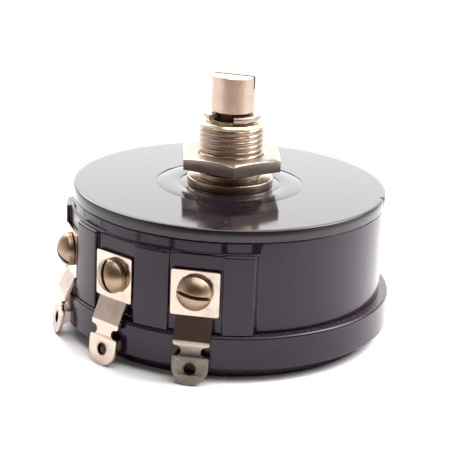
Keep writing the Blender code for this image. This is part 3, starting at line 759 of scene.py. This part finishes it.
def make_drum_wall(mat):
    """Rings of the block's outline, which close to a plain circle above the block."""
    outline = block_outline()

    def ring(height, inset=0.0, least=0.0, exactly=None):
        """The outline at a height, drawn in by an inset, or brought in to exactly one radius."""
        points = []
        for x, y in outline:
            radius = math.hypot(x, y)
            wanted = min(exactly, radius) if exactly else max(radius - inset, least)
            points.append((x * wanted / radius, y * wanted / radius, height))
        return points

    rings = [ring(WALL_BOTTOM + EDGE - rise, inset) for inset, rise in reversed(quarter(EDGE))]
    edge = 0.3
    rings += [ring(BLOCK_TOP - edge + rise, inset, WALL_R) for inset, rise in quarter(edge)]
    cove = 0.2
    rings += [ring(BLOCK_TOP + cove - cove * math.cos(a), exactly=WALL_R + cove - cove * math.sin(a))
              for a in (0.0, 0.4, 0.8, 1.2, math.pi / 2)]
    rings += [ring(WALL_TOP - EDGE + rise, exactly=WALL_R - inset) for inset, rise in quarter(EDGE)]
    rings += [ring(WALL_TOP, exactly=WALL_BORE_R + 0.1), ring(WALL_TOP - 0.1, exactly=WALL_BORE_R),
              ring(WALL_BOTTOM + 0.1, exactly=WALL_BORE_R), ring(WALL_BOTTOM, exactly=WALL_BORE_R + 0.1)]
    wall = link("drum_wall", mesh_from_rings("drum_wall", rings))
    holes = [round_tool(INSERT_HOLE_R, WALL_BORE_R - 1, BLOCK_R, outwards(azimuth, TERMINAL_Z))
             for azimuth in TERMINALS.values()]
    cut(wall, holes)
    add_piece(wall, "case", "case_wall", mat)


def cover_screw_places():
    for number, azimuth in enumerate(COVER_SCREW_AZIMUTHS, 1):
        x, y = polar(COVER_SCREW_RADIUS, azimuth)
        turn = Matrix.Rotation(math.radians(COVER_SCREW_SLOT_STEP * number), 4, "Z")
        yield number, Matrix.Translation((x * MM, y * MM, 0.0)) @ turn


def make_flange_ring(mat):
    upper, lower = FLANGE_FILLETS
    corners = [(FLANGE_BORE_R, FLANGE_TOP, EDGE), (FLANGE_R, FLANGE_TOP, upper),
               (FLANGE_R, FLANGE_BOTTOM, lower), (FLANGE_BORE_R, FLANGE_BOTTOM, EDGE)]
    ring = turned("flange_ring", corners, 2 * ROUND)
    cut(ring, [round_tool(*COVER_SCREW_HOLE, place) for _, place in cover_screw_places()])
    add_piece(ring, "case", "base_ring", mat)


def make_back_disc(mat, screw_mat):
    inside, middle, outside = REAR_GROOVE_R
    corners = [(0.0, REAR_SPIGOT_TOP, 0.0), (REAR_SPIGOT_R, REAR_SPIGOT_TOP, EDGE),
               (REAR_SPIGOT_R, REAR_TOP, 0.05), (REAR_R, REAR_TOP, EDGE), (REAR_R, 0.0, 0.3),
               (outside, 0.0, 0.0), (middle, REAR_GROOVE_DEPTH, 0.0), (inside, 0.0, 0.0), (0.0, 0.0, 0.0)]
    disc = turned("back_disc", corners, ROUND, closed=False)
    cut(disc, [countersink(place) for _, place in cover_screw_places()])
    add_piece(disc, "case", "rear_cover", mat)
    for number, place in cover_screw_places():
        make_cover_screw(number, place, screw_mat)


def countersink(place):
    """The tool for a rear screw's hole and the cone its head sits in."""
    hole = COVER_SCREW_HOLE[0]
    depth = COUNTERSINK_R - hole + GAP
    profile = [(0.0, REAR_TOP + 1), (hole, REAR_TOP + 1), (hole, depth), (COUNTERSINK_R, GAP),
               (COUNTERSINK_R, -1.0), (0.0, -1.0)]
    return link("tool", mesh_from_rings("tool", turned_rings(profile, SMALL), wrap=False), place)


def make_cover_screw(number, place, mat):
    corners = [(0.0, COVER_SCREW_END, 0.0), (COVER_SCREW_SHANK_R, COVER_SCREW_END, 0.2),
               (COVER_SCREW_SHANK_R, COVER_SCREW_NECK, 0.1), (COVER_SCREW_HEAD_R, COVER_SCREW_FACE, 0.08),
               (0.0, COVER_SCREW_FACE, 0.0)]
    screw = turned(f"cover_screw_{number}", corners, SMALL, closed=False)
    half, floor = COVER_SCREW_SLOT
    cut(screw, [box_tool((-half, -3.0, -1.0), (half, 3.0, floor), Matrix.Identity(4))])
    soften(screw, 0.04)
    screw.matrix_world = place
    add_piece(screw, "case", f"rear_cover_screw_{number}", mat)


# ---------------- bushing, nut, shaft, clip

def thread_cut(azimuth, height):
    """How deep the screw thread is cut at a point: 0 on the crest, 1 in the root."""
    turn = (height / THREAD_PITCH - azimuth / 360.0) % 1.0
    slope = abs(turn - 0.5) * 2.0
    return min(1.0, max(0.0, (slope - THREAD_CREST) / THREAD_FLANK))


def threaded_rings(low, high, segments, runout=0.5):
    """Rings down a threaded stretch, its thread fading out over the runout at each end."""
    rows = round((high - low) / (THREAD_PITCH / THREAD_ROWS))
    rings = []
    for row in range(rows + 1):
        height = high - (high - low) * row / rows
        fade = min(1.0, (height - low) / runout)
        ring = []
        for i in range(segments):
            azimuth = 360.0 * i / segments
            depth = THREAD_DEPTH * thread_cut(azimuth, height)
            depth = fade * depth + (1.0 - fade) * THREAD_DEPTH
            ring.append((*polar(THREAD_R - depth, azimuth), height))
        rings.append(ring)
    return rings


def make_bushing(mat):
    def rings(corners):
        return turned_rings(rounded(corners, closed=False), MEDIUM)

    chamfer_r = THREAD_R - BUSHING_CHAMFER
    crest = THREAD_R - 0.04
    root = THREAD_R - THREAD_DEPTH
    mouth = rings([(BUSHING_BORE_R, BUSHING_TOP - 0.5, 0.0), (BUSHING_BORE_R, BUSHING_TOP - 0.35, 0.1),
                   (BUSHING_BORE_R + 0.3, BUSHING_TOP, 0.06), (chamfer_r, BUSHING_TOP, 0.08),
                   (crest, THREAD_TOP, 0.1), (crest, THREAD_TOP - 0.12, 0.0)])
    upper = threaded_rings(BUSHING_FLANGE_TOP + 0.25, THREAD_TOP - 0.16, MEDIUM)
    flange = rings([(root, BUSHING_FLANGE_TOP + 0.2, 0.0), (root, BUSHING_FLANGE_TOP, 0.12),
                    (BUSHING_FLANGE_R, BUSHING_FLANGE_TOP, 0.2),
                    (BUSHING_FLANGE_R, BUSHING_FLANGE_BOTTOM, 0.08),
                    (THREAD_R, BUSHING_FLANGE_BOTTOM, 0.05), (THREAD_R, BUSHING_FLANGE_BOTTOM - 0.1, 0.0)])
    lower = threaded_rings(BUSHING_BOTTOM + 0.45, BUSHING_FLANGE_BOTTOM - 0.15, MEDIUM, 0.01)
    tail = rings([(root, BUSHING_BOTTOM + 0.4, 0.0), (root, BUSHING_BOTTOM, 0.1),
                  (BUSHING_BORE_R, BUSHING_BOTTOM, 0.1), (BUSHING_BORE_R, BUSHING_BOTTOM + 0.3, 0.0)])
    mesh = mesh_from_rings("threaded_bushing", mouth + upper + flange + lower + tail)
    add_piece(link("threaded_bushing", mesh), "case", "bushing", mat)


def make_mounting_nut(mat):
    """A hexagon whose corners are cut back on its upper face, with a threaded bore."""
    low, high = NUT_Z
    half = (high - low) / 2
    mesh = mesh_from_rings("hex_nut", nut_rings(half))
    turn = Matrix.Rotation(math.radians(NUT_CORNER_AZIMUTH - 30.0), 4, "Z")
    place = Matrix.Translation((0.0, 0.0, (low + half) * MM)) @ turn
    add_piece(link("hex_nut", mesh, place), "mounting_nut", "mounting_nut", mat)


def nut_rings(half):
    """Rings of the nut about its middle: down its mouth and sides, then up its thread."""
    face_r = NUT_FLATS / 2 - NUT_FACE_INSET
    azimuths = [60.0 * flat - 30.0 + 60.0 * i / NUT_STEPS for flat in range(6) for i in range(NUT_STEPS)]

    def side_ring(inset, above):
        ring = []
        for azimuth in azimuths:
            from_flat = (azimuth + 30.0) % 60.0 - 30.0
            radius = (NUT_FLATS / 2 - inset) / math.cos(math.radians(from_flat))
            drop = 0.0
            if above > 0.0:
                drop = max(0.0, radius - face_r) * math.tan(math.radians(NUT_CHAMFER_ANGLE))
            ring.append((*polar(radius, azimuth), above * (half - drop - inset)))
        return ring

    def face_ring(radius, height):
        return [(*polar(radius, azimuth), height) for azimuth in azimuths]

    rings = [face_ring(NUT_BORE_R + past, half - below) for past, below in NUT_MOUTH]
    rings += [face_ring(face_r - 0.1, half), face_ring(face_r, half - 0.02)]
    rings += [side_ring(0.03, 1.0), side_ring(0.0, 0.94), side_ring(0.0, -0.94), side_ring(0.03, -1.0)]
    rings += [face_ring(face_r - 0.1, -half)]
    rings += [face_ring(NUT_BORE_R + past, below - half) for past, below in reversed(NUT_MOUTH)]
    mouth = NUT_MOUTH[0][1]
    for row in range(1, NUT_STEPS):
        height = -half + mouth + (2 * half - 2 * mouth) * row / NUT_STEPS
        rings.append([(*polar(NUT_BORE_R + NUT_THREAD_DEPTH * thread_cut(azimuth, height), azimuth), height)
                      for azimuth in azimuths])
    return rings


def make_shaft(mat):
    low, high = SHAFT_GROOVE
    corners = [(0.0, SHAFT_TOP, 0.0), (SHAFT_R - 0.15, SHAFT_TOP, 0.08), (SHAFT_R, SHAFT_TOP - 0.15, 0.08),
               (SHAFT_R, high, 0.08), (SHAFT_GROOVE_R, high, 0.1), (SHAFT_GROOVE_R, low, 0.1),
               (SHAFT_R, low, 0.08), (SHAFT_R, SHAFT_BOTTOM, 0.3), (0.0, SHAFT_BOTTOM, 0.0)]
    shaft = turned("control_shaft", corners, MEDIUM, closed=False)
    half = SHAFT_SLOT_WIDTH / 2
    turn = Matrix.Rotation(math.radians(SHAFT_SLOT_AZIMUTH), 4, "Z")
    cut(shaft, [box_tool((-half, -5.0, SHAFT_TOP - SHAFT_SLOT_DEPTH), (half, 5.0, SHAFT_TOP + 1), turn)])
    soften(shaft, 0.05, angle=50.0)
    add_piece(shaft, "rotor", "shaft", mat)


def make_clip(mat):
    inner, outer = CLIP_R
    low, high = CLIP_Z
    section = rounded([(inner, low, 0.1), (outer, low, 0.14), (outer, high, 0.14), (inner, high, 0.1)])
    start = CLIP_AZIMUTH + CLIP_GAP / 2
    rings = []
    for i in range(CLIP_STEPS + 1):
        azimuth = start + (360.0 - CLIP_GAP) * i / CLIP_STEPS
        rings.append([(*polar(radius, azimuth), height) for radius, height in section])
    clip = link("c_clip", mesh_from_rings("c_clip", rings, wrap=False, caps=True))
    add_piece(clip, "rotor", "retaining_clip", mat)


# ---------------- terminals

def lug_path():
    """The lug's outer face from its top to its tip, with bend radii, and the length along it."""
    corners = [(LUG_FACE, LUG_TOP, 0.0), *((d, z, LUG_BEND_R) for d, z in LUG_BENDS), (*LUG_TIP, 0.0)]
    points = [Vector(point) for point in rounded(corners, closed=False)]
    lengths = [0.0]
    for before, after in zip(points, points[1:]):
        lengths.append(lengths[-1] + (after - before).length)
    return points, lengths


def on_path(points, lengths, distance):
    for i in range(1, len(points)):
        if distance <= lengths[i] or i == len(points) - 1:
            share = (distance - lengths[i - 1]) / (lengths[i] - lengths[i - 1])
            return points[i - 1].lerp(points[i], share)


def length_at(points, lengths, height):
    """The length along the path where it has come down to a height."""
    for i in range(1, len(points)):
        if points[i].y <= height or i == len(points) - 1:
            share = (points[i - 1].y - height) / (points[i - 1].y - points[i].y)
            return lengths[i - 1] + share * (lengths[i] - lengths[i - 1])


def lug_outlines(down):
    """The flat stamping: its outline, solder eye and screw hole, with y as the length along it."""
    shoulder = down(LUG_BENDS[0][1])
    bottom_shoulder = down(LUG_SHOULDER_Z)
    notch = down(LUG_NOTCH_Z)
    tip = down(LUG_TIP[1])
    right = [(LUG_HEAD_HALF, 0.0, 0.35), (LUG_HEAD_HALF, shoulder, 0.3), (LUG_HALF, shoulder, 0.12),
             (LUG_HALF, bottom_shoulder, 0.3)]
    turns = [math.pi * i / LUG_ARC_STEPS for i in range(LUG_ARC_STEPS + 1)]
    right += [(LUG_NECK_HALF + LUG_NOTCH_R * (1 - math.sin(a)), notch - LUG_NOTCH_R * math.cos(a), 0.0)
              for a in turns]
    right += [(LUG_HALF, notch + LUG_NOTCH_R, 0.3)]
    right += [(LUG_HALF * math.cos(a / 2), tip - LUG_HALF + LUG_HALF * math.sin(a / 2), 0.0)
              for a in turns]
    left = [(-x, y, fillet) for x, y, fillet in reversed(right[:-1])]
    eye = lug_hole(LUG_EYE_R, down(LUG_EYE_Z))
    hole = lug_hole(LUG_SCREW_HOLE_R, down(TERMINAL_Z))
    return [rounded(right + left), eye, hole]


def lug_hole(radius, length):
    """A round hole's outline at a length along the stamping's centre line."""
    points = (polar(radius, 360.0 / HOLE_STEPS * i) for i in range(HOLE_STEPS))
    return [(x, y + length) for x, y in points]


def make_lug(side, azimuth, mat):
    points, lengths = lug_path()
    name = "solder_lug_" + side
    bm = filled(name, lug_outlines(lambda height: length_at(points, lengths, height)))
    for length in lengths[1:-1]:
        everything = bm.verts[:] + bm.edges[:] + bm.faces[:]
        bmesh.ops.bisect_plane(bm, geom=everything, plane_co=(0.0, length, 0.0), plane_no=(0.0, 1.0, 0.0))
    for vert in bm.verts:
        distance, height = on_path(points, lengths, vert.co.y)
        vert.co = Vector((vert.co.x, -distance, height)) * MM
    bmesh.ops.recalc_face_normals(bm, faces=bm.faces)
    if sum((face.normal.y for face in bm.faces)) > 0.0:
        bmesh.ops.reverse_faces(bm, faces=bm.faces)
    mesh = bpy.data.meshes.new(name)
    bm.to_mesh(mesh)
    bm.free()
    lug = link(name, mesh)
    solid = lug.modifiers.new("sheet", "SOLIDIFY")
    solid.thickness = LUG_THICKNESS * MM
    solid.offset = -1.0
    solid.use_even_offset = True
    apply_modifiers(lug)
    soften(lug, 0.09, segments=3, angle=50.0)
    lug.matrix_world = Matrix.Rotation(math.radians(azimuth), 4, "Z")
    add_piece(lug, "case", "terminal_lug_" + side, mat)


def dome_corners(base):
    """A domed head's profile on the axis, from its crown down to its lower edge."""
    edge = SCREW_HEAD_EDGE
    rise = SCREW_HEAD_HEIGHT - edge
    sphere = (SCREW_HEAD_R ** 2 + rise ** 2) / (2 * rise)
    top = base + SCREW_HEAD_HEIGHT
    reach = math.asin(SCREW_HEAD_R / sphere)
    turns = [reach * i / SCREW_DOME_STEPS for i in range(SCREW_DOME_STEPS)]
    dome = [(sphere * math.sin(a), top - sphere * (1 - math.cos(a)), 0.0) for a in turns]
    return dome + [(SCREW_HEAD_R, base + edge, 0.25), (SCREW_HEAD_R, base, 0.12)]


def make_terminal_screw(side, azimuth, mat):
    base = LUG_FACE + GAP
    corners = dome_corners(base) + [(SCREW_SHANK_R, base, 0.05), (SCREW_SHANK_R, SCREW_END, 0.2),
                                    (0.0, SCREW_END, 0.0)]
    screw = turned("lug_screw_" + side, corners, SMALL, closed=False)
    half = SCREW_SLOT_WIDTH / 2
    crown = base + SCREW_HEAD_HEIGHT
    turn = Matrix.Rotation(math.radians(-SCREW_SLOT_TURN[side]), 4, "Z")
    cut(screw, [box_tool((-4.0, -half, crown - SCREW_SLOT_DEPTH), (4.0, half, crown + 1), turn)])
    soften(screw, 0.06, angle=50.0)
    screw.matrix_world = outwards(azimuth, TERMINAL_Z)
    add_piece(screw, "case", "terminal_screw_" + side, mat)


# ---------------- inner pieces

def dress_inner_pieces(mats):
    finishes = {
        "bushing_lock_nut": "bushing", "thrust_washer": "brass", "stop_arm": "steel", "rotor_hub": "wall",
        "wiper_arm": "bronze", "wiper_contact": "bronze", "slip_ring": "brass", "wiper_rivet_1": "brass",
        "wiper_rivet_2": "brass", "collector_spring": "bronze", "element_card": "card",
        "resistance_winding": "wire", "end_clamp_left": "lug", "end_clamp_right": "lug",
        "terminal_strap_left": "lug", "terminal_strap_right": "lug", "terminal_insert_left": "brass",
        "terminal_insert_centre": "brass", "terminal_insert_right": "brass",
    }
    for node, finish in finishes.items():
        dress(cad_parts[node], mats[finish])


# ---------------- camera, floor and light

def make_camera():
    azimuth = math.radians(CAMERA_AZIMUTH)
    elevation = math.radians(CAMERA_ELEVATION)
    back = Vector((math.sin(azimuth) * math.cos(elevation), -math.cos(azimuth) * math.cos(elevation),
                   math.sin(elevation)))
    camera = bpy.data.objects.new("camera", bpy.data.cameras.new("camera"))
    bpy.context.scene.collection.objects.link(camera)
    camera.data.lens = CAMERA_LENS
    camera.data.sensor_width = 36.0
    camera.data.shift_x = CAMERA_SHIFT_X
    camera.data.clip_start = 0.01
    camera.data.clip_end = 20.0
    aim = (-back).to_track_quat("-Z", "Y").to_matrix().to_4x4()
    roll = Matrix.Rotation(math.radians(CAMERA_ROLL), 4, "Z")
    target = Vector((0.0, 0.0, CAMERA_TARGET_Z * MM))
    camera.matrix_world = Matrix.Translation(target + back * CAMERA_DISTANCE * MM) @ aim @ roll
    bpy.context.scene.camera = camera


def make_floor():
    rings = turned_rings([(0.0, 0.0), (0.5 * FLOOR_R, 0.0), (FLOOR_R, 0.0)], MEDIUM)
    floor = link("floor", mesh_from_rings("floor", rings, wrap=False))
    mat = new_material("white_card", (0.9, 0.9, 0.9), 0.8)
    fibres = noise(mat, object_point(mat), 0.8, 3.0)
    paper = blend_colors(mat, remap(mat, fibres, 0.3, 0.7, 0.0, 1.0),
                         (0.90, 0.895, 0.89), (0.92, 0.92, 0.92))
    plug(mat, paper, shader_of(mat).inputs["Base Color"])
    shader_of(mat).inputs["Specular IOR Level"].default_value = 0.1
    dress(floor, mat)


def smooth_ramp(nodes, given, wanted):
    """A smooth step from one pair of values to another."""
    ramp = nodes.new("ShaderNodeMapRange")
    ramp.interpolation_type = "SMOOTHSTEP"
    ramp.inputs["From Min"].default_value = given[0]
    ramp.inputs["From Max"].default_value = given[1]
    ramp.inputs["To Min"].default_value = wanted[0]
    ramp.inputs["To Max"].default_value = wanted[1]
    return ramp


def make_world():
    """A room that is dark above the table in front, white below it, with a bright tent behind."""
    world = bpy.data.worlds.new("studio")
    bpy.context.scene.world = world
    world.use_nodes = True
    nodes = world.node_tree.nodes
    links = world.node_tree.links
    tent = nodes["Background"]
    coords = nodes.new("ShaderNodeTexCoord")
    dot = nodes.new("ShaderNodeVectorMath")
    dot.operation = "DOT_PRODUCT"
    dot.inputs[1].default_value = (*polar(1.0, TENT_AZIMUTH), 0.0)
    parts = nodes.new("ShaderNodeSeparateXYZ")
    links.new(coords.outputs["Generated"], dot.inputs[0])
    links.new(coords.outputs["Generated"], parts.inputs[0])

    def ramp(source, given, wanted):
        node = smooth_ramp(nodes, given, wanted)
        links.new(source, node.inputs["Value"])
        return node.outputs["Result"]

    def combine(operation, first, second):
        node = nodes.new("ShaderNodeMath")
        node.operation = operation
        links.new(first, node.inputs[0])
        links.new(second, node.inputs[1])
        return node.outputs[0]

    behind = dot.outputs["Value"]
    height = parts.outputs["Z"]
    table = combine("MULTIPLY", ramp(behind, (-0.95, -0.35), (0.95, 1.5)),
                    ramp(height, TABLE_EDGE, (1.0, 0.0)))
    room = combine("MULTIPLY", ramp(height, (0.0, 0.5), (1.0, 0.35)), ramp(height, TABLE_EDGE, (0.0, 1.0)))
    room = combine("MULTIPLY", room, ramp(behind, (-0.93, -0.1), (0.2, 1.25)))
    panel = combine("MULTIPLY", ramp(height, (-0.1, 0.15), (0.0, 1.0)),
                    ramp(height, (0.45, 0.75), (1.0, 0.1)))
    panel = combine("MULTIPLY", panel, ramp(behind, (0.5, 0.92), (0.0, TENT_STRENGTH)))
    strength = combine("ADD", combine("ADD", table, room), panel)
    warmth = nodes.new("ShaderNodeMix")
    warmth.data_type = "RGBA"
    links.new(ramp(behind, (-0.95, -0.2), (1.0, 0.0)), warmth.inputs["Factor"])
    warmth.inputs[6].default_value = PALE_LIGHT
    warmth.inputs[7].default_value = WARM_LIGHT
    links.new(warmth.outputs[2], tent.inputs["Color"])
    links.new(strength, tent.inputs["Strength"])
    show_backdrop(nodes, links, tent)


def show_backdrop(nodes, links, tent):
    """Plain white where the camera looks past the floor."""
    backdrop = nodes.new("ShaderNodeBackground")
    backdrop.inputs["Color"].default_value = (1.0, 1.0, 1.0, 1.0)
    backdrop.inputs["Strength"].default_value = BACKDROP_STRENGTH
    path = nodes.new("ShaderNodeLightPath")
    blend = nodes.new("ShaderNodeMixShader")
    links.new(path.outputs["Is Camera Ray"], blend.inputs[0])
    links.new(tent.outputs[0], blend.inputs[1])
    links.new(backdrop.outputs[0], blend.inputs[2])
    links.new(blend.outputs[0], nodes["World Output"].inputs["Surface"])


def make_softbox(name, azimuth, elevation, distance, size, power):
    """A square area light that looks at the middle of the part."""
    data = bpy.data.lights.new(name, "AREA")
    data.shape = "RECTANGLE"
    data.size = size * MM
    data.size_y = size * MM
    data.energy = power
    lamp = bpy.data.objects.new(name, data)
    bpy.context.scene.collection.objects.link(lamp)
    turn = math.radians(azimuth)
    rise = math.radians(elevation)
    way = Vector((math.sin(turn) * math.cos(rise), -math.cos(turn) * math.cos(rise), math.sin(rise)))
    aim = (-way).to_track_quat("-Z", "Y").to_matrix().to_4x4()
    lamp.matrix_world = Matrix.Translation(way * distance * MM + Vector((0.0, 0.0, 15.0 * MM))) @ aim


def make_stage():
    make_camera()
    make_floor()
    make_world()
    make_softbox("key", KEY_AZIMUTH, KEY_ELEVATION, KEY_DISTANCE, KEY_SIZE, KEY_POWER)
    make_softbox("side", SIDE_AZIMUTH, SIDE_ELEVATION, SIDE_DISTANCE, SIDE_SIZE, SIDE_POWER)
    make_softbox("fill", FILL_AZIMUTH, SIDE_ELEVATION, SIDE_DISTANCE, SIDE_SIZE, FILL_POWER)
    bpy.context.scene.view_settings.view_transform = "Standard"


def make_materials():
    return {
        "disc": polished_phenolic("polished_phenolic"),
        "wall": phenolic("moulded_phenolic", (0.0100, 0.0015, 0.0112), 0.17),
        "bushing": plated("nickel_on_brass", (0.385, 0.31, 0.24), 0.22, (0.3, 0.3, 8.0),
                          (THREAD_TOP - 0.4, THREAD_TOP - 0.15)),
        "nut": plated("nut_nickel", (0.41, 0.355, 0.305), 0.14, (0.4, 0.4, 5.0), face_rough=0.2),
        # the shaft's groove carries a painted shade
        "shaft": plated("shaft_nickel", (0.57, 0.45, 0.375), 0.28, (0.4, 0.4, 10.0),
                        groove_shade_band=SHAFT_GROOVE),
        "clip": plated("clip_steel", (0.42, 0.35, 0.30), 0.28, (1.0, 1.0, 1.0)),
        "lug": plated("tinned_brass", (0.54, 0.435, 0.365), 0.13, (5.0, 0.6, 0.6), wave=0.006,
                      eye=True),
        # a darker copy of the lug, its tab painted darker still: painted shade
        "shaded_lug": plated("shaded_tinned_brass", (0.48, 0.40, 0.34), 0.16, (5.0, 0.6, 0.6), wave=0.006,
                           eye=True, shade_below=(LUG_SHOULDER_Z - 0.3, LUG_SHOULDER_Z + 0.4)),
        "screw": plated("screw_nickel", (0.31, 0.225, 0.155), 0.33, (1.0, 1.0, 1.0)),
        "steel": plated("plain_steel", (0.52, 0.51, 0.50), 0.36, (1.0, 4.0, 1.0)),
        "brass": plated("turned_brass", (0.78, 0.60, 0.30), 0.3, (0.5, 0.5, 6.0)),
        "bronze": plated("spring_bronze", (0.68, 0.44, 0.26), 0.3, (4.0, 0.6, 1.0)),
        "wire": plated("resistance_wire", (0.50, 0.42, 0.36), 0.38, (0.5, 0.5, 0.5)),
        "card": fibre("pressed_card"),
    }


def main():
    make_stage()
    mats = make_materials()
    make_top_disc(mats["disc"])
    make_drum_wall(mats["wall"])
    make_flange_ring(mats["wall"])
    make_back_disc(mats["wall"], mats["steel"])
    make_bushing(mats["bushing"])
    make_mounting_nut(mats["nut"])
    make_shaft(mats["shaft"])
    make_clip(mats["clip"])
    for side, azimuth in TERMINALS.items():
        # the right lug takes the copy with painted shade
        make_lug(side, azimuth, mats["shaded_lug" if side == "right" else "lug"])
        make_terminal_screw(side, azimuth, mats["screw"])
    dress_inner_pieces(mats)


main()
